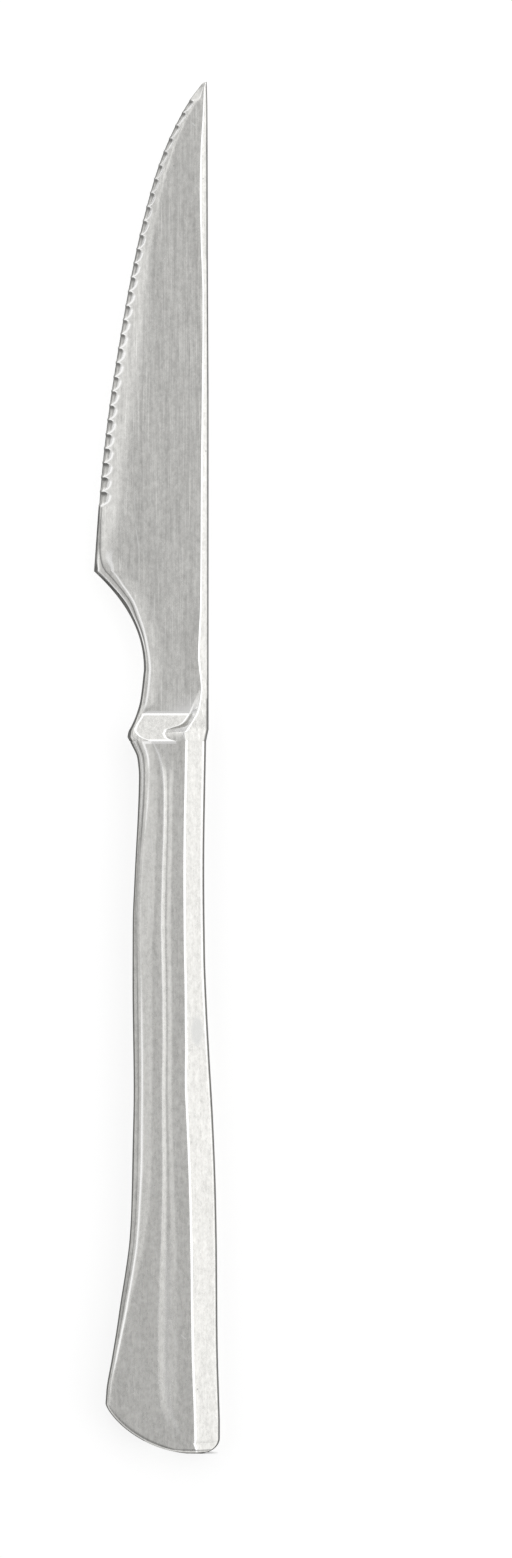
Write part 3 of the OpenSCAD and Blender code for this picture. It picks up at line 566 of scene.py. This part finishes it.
# ----------------------------------------------------------- handle shells
# Two half shells pressed from stainless sheet, tumbled to a soft satin: a rounded
# lower shoulder, a shallow facet, two flat lands with a soft flute between them and
# a wide bevel along the back. The back shell is the mirror of the front one.

# Sizes as above, with v running from the mouth to the butt
HANDLE_LENGTH, BUTT_WIDTH, BUTT_FLARE, BACK_HOLLOW = 116.8, 18.75, 1.85, 0.72
WAIST_WIDTH, GRIP_WIDTH, REAR_BEVEL, FLUTE_DEPTH = 10.9, 12.75, 4.3, 0.2
WALL, SEAM, BRAZE, LEAST_BACK = 0.9, 0.3, 0.2, 0.15
BUTT_SLANT, BUTT_CORNER, BUTT_WALL, BUTT_ROUND = 8.2, 2.5, 4, 0.7 * SHOULDER_WIDTH
SLANT_AT, HOLLOW_END = HANDLE_LENGTH - BUTT_SLANT, HANDLE_LENGTH - BUTT_WALL
BUTT_LOW, BUTT_END = BUTT_WIDTH - BUTT_FLARE, 0.107 * BUTT_WIDTH

# The outlines of the back and of the lower edge, as shares of the handle's length
BACK_RUN = [(0, MOUTH_STEP)] + [(p * HANDLE_LENGTH, mix(BACK_HOLLOW, -BUTT_FLARE, q)) for p, q in (
    (0.18, 0), (0.3, 0.05), (0.364, 0.152), (0.448, 0.35), (0.532, 0.568), (0.638, 0.751),
    (0.722, 0.817), (0.84, 0.856), (0.954, 1))]
WAIST_LOW = curve(BACK_RUN, 0.048 * HANDLE_LENGTH) + WAIST_WIDTH
GRIP_LOW = curve(BACK_RUN, 0.49 * HANDLE_LENGTH) + GRIP_WIDTH
LOW_RUN = [(p * HANDLE_LENGTH, mix(a, b, q)) for a, b, run in (
    (WAIST_LOW, MOUTH_STEP + MOUTH_WIDTH,
     [(0, 1), (0.0056, 0.78), (0.0126, 0.5), (0.02, 0.25), (0.0267, 0.14), (0.048, 0)]),
    (WAIST_LOW, GRIP_LOW,
     [(0.069, 0.05), (0.111, 0.27), (0.153, 0.58), (0.195, 0.86), (0.258, 1.19), (0.343, 1.22), (0.49, 1)]),
    (GRIP_LOW, BUTT_LOW,
     [(0.574, 0.04), (0.659, 0.088), (0.7, 0.148), (0.743, 0.287), (0.785, 0.456), (0.827, 0.61),
      (0.869, 0.786), (0.911, 0.968), (0.93, 1)])) for p, q in run]

# The widths of the shoulder and the bevel, and where the facet and the flute lie on the land
SHOULDER_RUN = [(0, 1.8), (0.022, 1.5), (0.083, 1.3), (0.153, 1.05), (0.25, 1), (0.364, 1.25),
                (0.43, 1.22), (0.504, 1.17), (0.588, 1.29), (0.673, 1.08), (0.757, 1.0),
                (0.785, 0.98), (0.84, 0.73), (0.925, 0.47), (1, 0.6)]
REAR_BEVEL_RUN = [(0, 0), (0.31, 0.05), (0.42, 0.45), (0.504, 0.98), (0.6, 1), (0.84, 0.9), (1, 0.8)]
FACET_RUN = [(0, 0.197), (0.027, 0.2), (0.069, 0.278), (0.153, 0.32), (0.22, 0.345), (0.31, 0.275),
             (0.364, 0.264), (0.5, 0.24), (0.645, 0.22), (0.7, 0.15), (0.75, 0.098), (0.78, 0.06),
             (0.81, 0.04), (1, 0.02)]
FLUTE_LOW_RUN = [(0, 0.22), (0.024, 0.318), (0.069, 0.43), (0.153, 0.486), (0.36, 0.485),
                 (0.574, 0.45), (0.7, 0.446), (0.814, 0.51), (0.926, 0.6), (1, 0.68)]
FLUTE_HIGH_RUN = [(0, 0.77), (0.069, 0.665), (0.153, 0.705), (0.36, 0.694), (0.574, 0.68),
                  (0.7, 0.74), (0.814, 0.8), (0.925, 0.82), (1, 0.86)]
FLUTE_FADE_RUN = [(0, 0), (0.07, 1), (0.9, 1), (0.97, 0)]
# The rounding of the shoulder, corner by corner: its share of the shoulder's width, and its least
# width and share of the height along the grip and at the butt
ROUNDING = [(0.15, 0.2, 0.26, 0.68, 0.88), (0.38, 0.36, 0.36, 0.77, 0.92), (0.58, 0.46, 0.46, 0.87, 0.96)]
BUTT_LOOK_AT, BUTT_LOOK_RUN = 0.72, 0.15
RIM_LINE, BACK_RIM, LEAST_FACET = 0.42, 0.2, 0.35

# How strong the painted light is on each corner along the handle: a painted highlight where positive, painted
# shade where negative
SHOULDER_PAINTED_LIGHT_RUN = [(0, 1), (0.02, 0.9), (0.05, 0.2), (0.083, 0.5), (0.14, 0.1), (0.3, 0.1),
                       (0.4, 0.6), (0.5, 0.9), (0.6, 1), (0.84, 1), (0.9, 0.2), (1, 0)]
BAND_PAINTED_LIGHT_RUN = [(0, 0.7), (0.1, 0.5), (0.14, -0.4), (0.26, -0.4), (0.34, 0), (0.68, 0),
                   (0.76, -0.3), (0.88, -0.1), (1, 0.2)]
SIDE_PAINTED_LIGHT_RUN = [(0, -0.6), (0.1, -0.6), (0.2, -0.2), (0.36, -0.5), (0.7, -0.4), (0.8, -0.6),
                   (0.9, 0), (1, 0)]
CREASE_PAINTED_LIGHT_RUN = [(0, 0.5), (0.02, 0.7), (0.04, 0.45), (0.2, 0.35), (0.36, 0.3), (0.42, 0.2),
                     (0.95, 0.1), (1, 0)]
SHEEN_RUN = [(0, 0), (0.6, 0), (0.78, 0.24), (0.94, 0.24), (1, 0)]
RIM_PAINTED_LIGHT_RUN = [(0, 1), (0.3, 1), (0.5, 0.4), (1, 0.2)]


def oval(q, power):
    """How far the end's rounded outline has turned in at a share q of its length"""
    return 1 - math.sqrt(1 - (0.992 * min(1, max(0, q))) ** power)


def handle_low(v):
    return min(curve(LOW_RUN, v), mix(BUTT_LOW, BUTT_END, oval((v - SLANT_AT) / BUTT_SLANT, 1.35)))


def handle_back(v):
    return max(curve(BACK_RUN, v),
               mix(-BUTT_FLARE, BUTT_END, oval((v - HANDLE_LENGTH + BUTT_CORNER) / BUTT_CORNER, 2)))


def slant(v, step=0.01):
    """How much a width across the slanting lower edge grows when it is measured across the knife"""
    return math.hypot(1, (handle_low(v) - handle_low(v - step)) / step) if v > step else 1


def handle_parts(v):
    """Widths of the shoulder and of the bevel, height of the face, and height at the back edge"""
    span, share = handle_low(v) - handle_back(v), v / HANDLE_LENGTH
    lean = slant(v) if v > SLANT_AT else 1
    shoulder = min(STRIP_SHARE * span, SHOULDER_WIDTH * curve(SHOULDER_RUN, share) * lean)
    bevel = min(BEVEL_SHARE * span, mix(FRONT_BEVEL, REAR_BEVEL, curve(REAR_BEVEL_RUN, share)))
    level = mix(SIDE_HALF, HALF_THICK,
                math.sqrt(1 - (1 - min(1, (HANDLE_LENGTH - v) / BUTT_ROUND)) ** 2))
    return shoulder, bevel, level, max(LEAST_BACK, level - bevel * BEVEL_SLOPE)


def shell_corners(v):
    """Corners of the outside of a half shell, from the seam below to the seam at the back"""
    low, back, share = handle_low(v), handle_back(v), v / HANDLE_LENGTH
    shoulder_width, bevel, level, spine = handle_parts(v)
    shoulder, ridge = low - shoulder_width, back + bevel
    land = shoulder - ridge
    facet, flute_low, flute_high = (land * curve(run, share)
                                    for run in (FACET_RUN, FLUTE_LOW_RUN, FLUTE_HIGH_RUN))
    flute_middle = mix(flute_low, flute_high, 0.45)
    shoulder_z, edge = max(SIDE_HALF, level - facet * FACET_SLOPE), max(SIDE_HALF, spine)
    crease, sheen = curve(CREASE_PAINTED_LIGHT_RUN, share), max(0.22 * hump(v, 0, 9), curve(SHEEN_RUN, share))
    lean, butt = slant(v) if v > SLANT_AT else 1, min(1, max(0, (share - BUTT_LOOK_AT) / BUTT_LOOK_RUN))
    first, second, third = (
        (low - max(part * shoulder_width, mix(grip_width, butt_width, butt) * lean),
         mix(SIDE_HALF, shoulder_z, mix(grip_rise, butt_rise, butt)))
        for part, grip_width, butt_width, grip_rise, butt_rise in ROUNDING)
    # Each corner's fourth value is its painted light: a highlight where positive, shade where negative; the
    # seam and the rims get painted shade
    return [(low, SEAM / 2, 0, -1),
            (low, SIDE_HALF, mix(0.26, 0.12, min(1, v / 4)), -1, HELD),
            (*first, 0.1, -1, UP_TO),
            (*second, 0.08, curve(BAND_PAINTED_LIGHT_RUN, share), WIDE),
            (*third, 0.1, curve(SIDE_PAINTED_LIGHT_RUN, share), WIDE),
            (shoulder, shoulder_z, mix(0.12, 0.16, butt), curve(SHOULDER_PAINTED_LIGHT_RUN, share), WIDE),
            (shoulder - max(facet, LEAST_FACET), level, 0.25, 0),
            (shoulder - flute_low, level, 0.16, crease, WIDE),
            (shoulder - flute_middle, level - FLUTE_DEPTH * curve(FLUTE_FADE_RUN, share), 0.5, sheen, WIDE),
            (shoulder - flute_high, level, 0.25, 0),
            (ridge, level, 0.14, 1, AFTER),
            (back + RIM_LINE, min(level, edge + RIM_LINE * BEVEL_SLOPE), 0.05,
             curve(RIM_PAINTED_LIGHT_RUN, share), WIDE),
            (back + BACK_RIM, min(level, edge + BACK_RIM * BEVEL_SLOPE), 0.02, -1, BRINK),
            (back, edge, 0.03, -1, HELD),
            (back, SEAM / 2, 0, -1)]


def hollow_corners(v):
    """Corners of the hollow side of a half shell; it closes across the solid butt"""
    low, back = handle_low(v), handle_back(v)
    if v > HOLLOW_END + 0.01:
        return [(mix(low, back, 0.125 + 0.0625 * n), SEAM / 2, 0, 0) for n in range(13)]
    shoulder, bevel, _, spine = handle_parts(v)
    low_in, back_in = low - WALL * slant(v), back + WALL
    inside, ridge, ceiling = low - shoulder - 0.33 * WALL, back + bevel, HALF_THICK - WALL
    facet_z = ceiling - (low - shoulder - back - bevel) * curve(FACET_RUN, v / HANDLE_LENGTH) * FACET_SLOPE
    land, side_z, back_z = inside - ridge, SIDE_HALF / 2, spine - WALL / 2
    sharp = [(low_in, SEAM / 2), (low_in, side_z)]
    sharp += [(mix(low_in, inside, part), mix(side_z, facet_z, rise))
              for part, rise in ((0.4, 0.5), (0.75, 0.8))]
    sharp += [(min(inside, low_in), facet_z)]
    sharp += [(inside - part * land, ceiling) for part in (0.33, 0.5, 0.67, 0.85)]
    sharp += [(ridge, ceiling), (mix(ridge, back_in, 0.6), mix(ceiling, back_z, 0.6)), (back_in, back_z),
              (back_in, SEAM / 2)]
    return [(d, z, 0.1, 0) for d, z in sharp]


# The stations of the handle from the mouth to the butt, and the points added between two corners
BUTT_STATIONS = 56
runs = [BRAZE, 0.32, 0.5, 0.75] + [1 + 0.3 * n for n in range(30)] + [10 + 0.9 * n for n in range(108)]
runs = [v for v in runs if v < SLANT_AT - 0.4]
runs += [SLANT_AT + BUTT_SLANT * math.sin(math.pi / 2 * n / BUTT_STATIONS)
         for n in range(BUTT_STATIONS + 1)]
shell_fills = (1, 0, 0, 0, 0, 1, 0, 1, 1, 3, 3, 0, 0, 1)
hollow_fills = (1, 0, 0, 1, 1, 0, 1, 1, 3, 3, 0, 1)
MOUTH_LINE_FROM, MOUTH_LINE_TO = 5.3, 10.4


def shell_row(v):
    """The outside of a half shell at a station, with a painted highlight line round its mouth"""
    # Painted highlight line round the mouth
    line = min(1, 1.5 * hump(v, 0.12, 0.4))
    return [(d, z, max(p, line) if MOUTH_LINE_FROM < d < MOUTH_LINE_TO else p)
            for d, z, p in eased(shell_corners(v), shell_fills)]


outside, inside_rows = [], []
for v in reversed(runs):
    # Painted shade round the very end of the butt
    rim = min(1, max(0, (v - HANDLE_LENGTH + 0.5) / 0.4))
    outside.append([(placed(d, -v, z), mix(p, -0.8, rim)) for d, z, p in shell_row(v)])
    inside_rows.append([(placed(d, -v, z), 0) for d, z, p in eased(hollow_corners(v), hollow_fills)])

handle_finish = satin_steel("tumbled_handle_steel", (0.708, 0.701, 0.677), roughness=0.28,
                            brush=(0.35, 4.0, 0.35), brush_strength=0.3, hair_strength=0.06, mottle=0.42,
                            marks=[(6.68, -101.8, 0.14, 0.12, 0, 0.42), (4.45, -93.3, 0.08, 0.65, 0.85, 0.92),
                                   (6.6, -43.2, 1.0, 2.5, 0.0, 0.62)])
for name, side, node in (("Handle_front_shell", 1, "handle_front_shell"),
                         ("Handle_back_shell", -1, "handle_back_shell")):
    bm = bmesh.new()
    painted_light_layer = bm.verts.layers.float.new("painted_light")
    sheet_of(bm, painted_light_layer, outside)
    sheet_of(bm, painted_light_layer, inside_rows, turned=True)
    if side < 0:
        middle = HALF_THICK * MM
        bmesh.ops.transform(bm, verts=bm.verts[:], matrix=Matrix.Translation((0, 0, middle))
                            @ Matrix.Scale(-1, 4, (0, 0, 1)) @ Matrix.Translation((0, 0, -middle)))
    close_between(bm)
    finish_piece(bm, name, handle_finish, node)

# ------------------------------------------------- seam and mouth filler
# The brazing alloy that joins the two shells along both narrow edges and round the
# butt, and that closes the mouth against the bolster. It is ground flush, and stays
# a little duller than the shells.

# Painted shade: the seam's outer faces are dimmed with it
FILLER_PAINTED_SHADE = -0.95
filler_finish = satin_steel("ground_filler", (0.69, 0.683, 0.66), roughness=0.29, brush=(0.3, 3.0, 0.3),
                            brush_strength=0.1, hair_strength=0.0, mottle=0.26, marks=[])


def thicken(bm, way):
    """Gives a flat sheet its thickness"""
    lifted = bmesh.ops.extrude_face_region(bm, geom=bm.faces[:])["geom"]
    bmesh.ops.translate(bm, verts=[g for g in lifted if isinstance(g, bmesh.types.BMVert)], vec=way)
    bmesh.ops.recalc_face_normals(bm, faces=bm.faces[:])


# In the seam, along the lower edge, round the butt and back along the upper edge
bm = bmesh.new()
painted_light_layer = bm.verts.layers.float.new("painted_light")
lower, upper = [], []
for v in runs:
    inner = min(v, HOLLOW_END)
    low_in, back_in = handle_low(inner) - WALL * slant(inner), handle_back(inner) + WALL
    closing = 0 if v <= HOLLOW_END else 0.5 * (v - HOLLOW_END) / (HANDLE_LENGTH - HOLLOW_END)
    lower.append([(placed(handle_low(v), -v, -SEAM / 2), FILLER_PAINTED_SHADE),
                  (placed(mix(low_in, back_in, closing), -inner, -SEAM / 2), 0)])
    upper.append([(placed(handle_back(v), -v, -SEAM / 2), FILLER_PAINTED_SHADE),
                  (placed(mix(back_in, low_in, closing), -inner, -SEAM / 2), 0)])
sheet_of(bm, painted_light_layer, lower + upper[::-1])
thicken(bm, (0, 0, SEAM * MM))
finish_piece(bm, "Seam_filler", filler_finish, "handle_seam_weld")

# At the mouth, a ring with the shells' own section and their painted light, including the painted highlight
# line round the mouth
bm = bmesh.new()
painted_light_layer = bm.verts.layers.float.new("painted_light")
for row in (shell_row(BRAZE), eased(hollow_corners(BRAZE), hollow_fills)):
    loop = row + [(d, -z, p) for d, z, p in row[::-1]]
    verts = [bm.verts.new(placed(d, 0, z)) for d, z, p in loop]
    for vert, (d, z, p) in zip(verts, loop):
        vert[painted_light_layer] = p
    for a, b in zip(verts, verts[1:] + verts[:1]):
        bm.edges.new((a, b))
bmesh.ops.bridge_loops(bm, edges=bm.edges[:])
thicken(bm, (0, -BRAZE * MM, 0))
finish_piece(bm, "Mouth_filler", filler_finish, "mouth_braze")

# ---------------------------------------------------------- tang cement
# Hard filled resin, poured round the notched tang inside the hollow handle. It is
# closed in by the shells, so it keeps its CAD solid and gets a matt, gritty finish.

cement, shader, place = blank_material("tang_cement")
grit = place.grain((0.35, 0.35, 0.35), 4.0, 0.6)
cloud = place.grain((3.0, 5.0, 3.0), 2.0, 0.5)
colour = (grit * 0.6 + cloud * 0.4).between(0.3, 0.7).blend((0.42, 0.35, 0.26, 1), (0.66, 0.58, 0.46, 1))
colour.feed(shader, "Base Color")
(grit * 0.2 + 0.75).feed(shader, "Roughness")
bump = place.node("ShaderNodeBump", {}, Strength=0.4, Distance=0.00005, Height=grit)
bump.feed(shader, "Normal")
cement_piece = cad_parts["tang_cement"]
cement_piece.data.materials.clear()
cement_piece.data.materials.append(cement)

# ---------------------------------------------------- floor, light, camera
# A white sheet under the knife, soft level panels overhead and to the sides, a pale surround that
# is brighter low down, and a long lens looking straight down.

FLOOR_HALF, FLOOR_DROP, FLOOR_GLOW = 2.5, 0.01, 0.77
paper, shader, place = blank_material("white_sheet")
shader.inputs["Base Color"].default_value = (0.36, 0.36, 0.36, 1)
shader.inputs["Roughness"].default_value = 0.9
shader.inputs["Emission Color"].default_value = (1, 1, 1, 1)
seen = place.node("ShaderNodeLightPath", {}, outlet="Is Camera Ray")
for other in ("Is Glossy Ray", "Is Transmission Ray"):
    seen = seen.sum("MAXIMUM", seen, place.node("ShaderNodeLightPath", {}, outlet=other))
(seen * FLOOR_GLOW).feed(shader, "Emission Strength")
bm = bmesh.new()
bmesh.ops.create_grid(bm, x_segments=8, y_segments=8, size=FLOOR_HALF,
                      matrix=Matrix.Translation((0, 0, -FLOOR_DROP * MM)))
object_of(bm, "Floor", paper)

SKY_GLOW, SKIRT_GLOW, SKIRT_FROM, SKIRT_TO = 0.3, 0.4, 0.22, 0.42
world = bpy.data.worlds.new("studio")
bpy.context.scene.world = world
world.use_nodes = True
background = world.node_tree.nodes["Background"]
background.inputs["Color"].default_value = (1, 1, 1, 1)
direction = Value(world.node_tree, world.node_tree.nodes.new("ShaderNodeTexCoord").outputs["Generated"])
height = direction.node("ShaderNodeSeparateXYZ", {}, outlet=2, Vector=direction)
skirt = 1 - height.between(SKIRT_FROM, SKIRT_TO)
(skirt * SKIRT_GLOW + SKY_GLOW).feed(background, "Strength")


def ceiling_panel(name, left, right, near, far, glow):
    """A level soft panel 1 m up. Its edges are angles from straight up, seen from the knife"""
    x0, x1, y0, y1 = (math.tan(math.radians(angle)) for angle in (left, right, near, far))
    lamp = bpy.data.lights.new(name, "AREA")
    lamp.shape, lamp.size, lamp.size_y = "RECTANGLE", x1 - x0, y1 - y0
    lamp.energy = glow * lamp.size * lamp.size_y * math.pi
    holder = bpy.data.objects.new(name, lamp)
    bpy.context.scene.collection.objects.link(holder)
    holder.location = ((x0 + x1) / 2, (y0 + y1) / 2, 1)


ceiling_panel("Overhead_panel", -14, 13, -17, 42, 0.3)
ceiling_panel("Left_panel", -44, -14, -17, 42, 0.66)
ceiling_panel("Right_panel", 13, 35, -17, 42, 0.8)
ceiling_panel("Left_side_panel", -66, -44, -38, 42, 0.4)
ceiling_panel("Side_panel", 35, 66, -38, 42, 1.02)
ceiling_panel("Far_panel", -60, 35, 42, 66, 0.84)

LENS, SENSOR, PICTURE_HEIGHT, PIXELS_PER_MM = 200, 36, 1558, 6.093
VIEW_X, VIEW_Y = 16.26, -1.89
camera = bpy.data.cameras.new("Camera")
camera.lens, camera.sensor_width = LENS, SENSOR
camera_holder = bpy.data.objects.new("Camera", camera)
bpy.context.scene.collection.objects.link(camera_holder)
view_height = PICTURE_HEIGHT / PIXELS_PER_MM
camera_holder.location = Vector((VIEW_X, VIEW_Y, HALF_THICK + view_height * LENS / SENSOR)) * MM
camera.clip_start, camera.clip_end = 0.1, 10
bpy.context.scene.camera = camera_holder
bpy.context.scene.view_settings.view_transform = "Standard"

bpy.context.view_layer.update()
